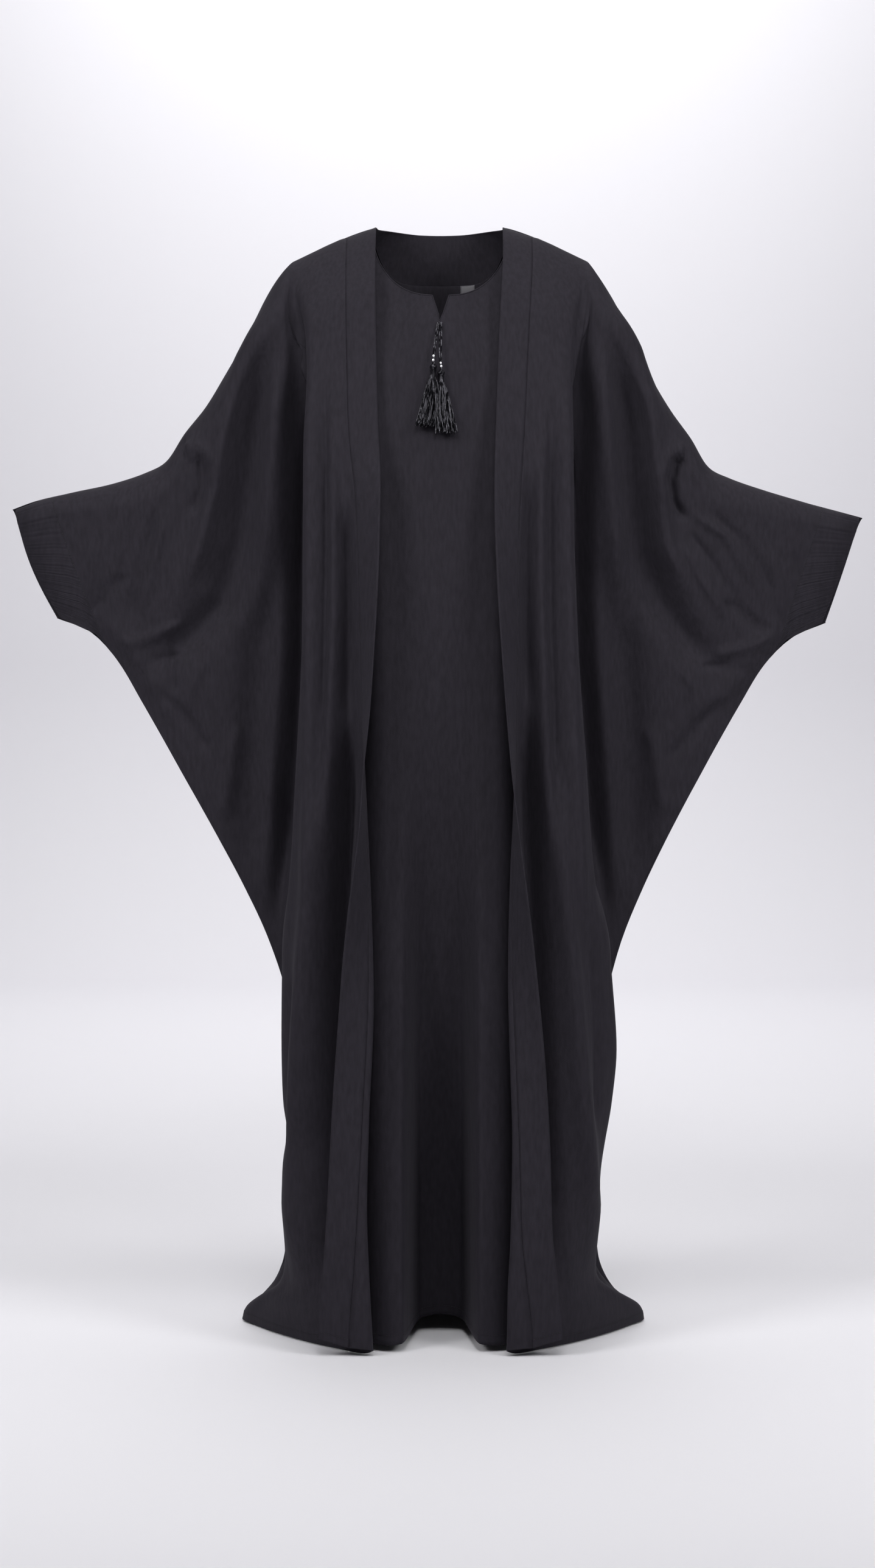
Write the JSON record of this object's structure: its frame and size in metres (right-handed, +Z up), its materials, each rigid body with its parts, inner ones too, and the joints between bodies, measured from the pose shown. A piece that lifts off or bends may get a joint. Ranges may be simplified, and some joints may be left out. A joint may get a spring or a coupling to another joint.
{
  "type": "butterfly abaya",
  "caption": "Open butterfly abaya with wide sleeves cut in one with the body, front bands that roll back, and a tasselled inner dress, worn with no wearer.",
  "frame": {"origin": "midway between the two side neck points of the outer dress, on the shoulder line", "axes": "+Z up, -Y to the front, +X to the right of a person who looks at the front, which is the wearer's left"},
  "size_m": [1.1105, 0.4116, 1.4412],
  "materials": {
    "outer_crepe": "matte",
    "inner_crepe": "matte",
    "label": "satin",
    "tassel": "gloss"
  },
  "bodies": {
    "root": {"cape_front_right": "outer_crepe", "cape_front_left": "outer_crepe", "cape_back": "outer_crepe", "band_right": "outer_crepe", "band_left": "outer_crepe", "inner_front": "inner_crepe", "inner_back": "inner_crepe", "neck_label": "label", "tassel_cord_right_outer": "tassel", "tassel_cord_right_inner": "tassel", "tassel_cord_left_inner": "tassel", "tassel_cord_left_outer": "tassel", "tassel_right": "tassel", "tassel_left": "tassel"}
  },
  "joints": []
}
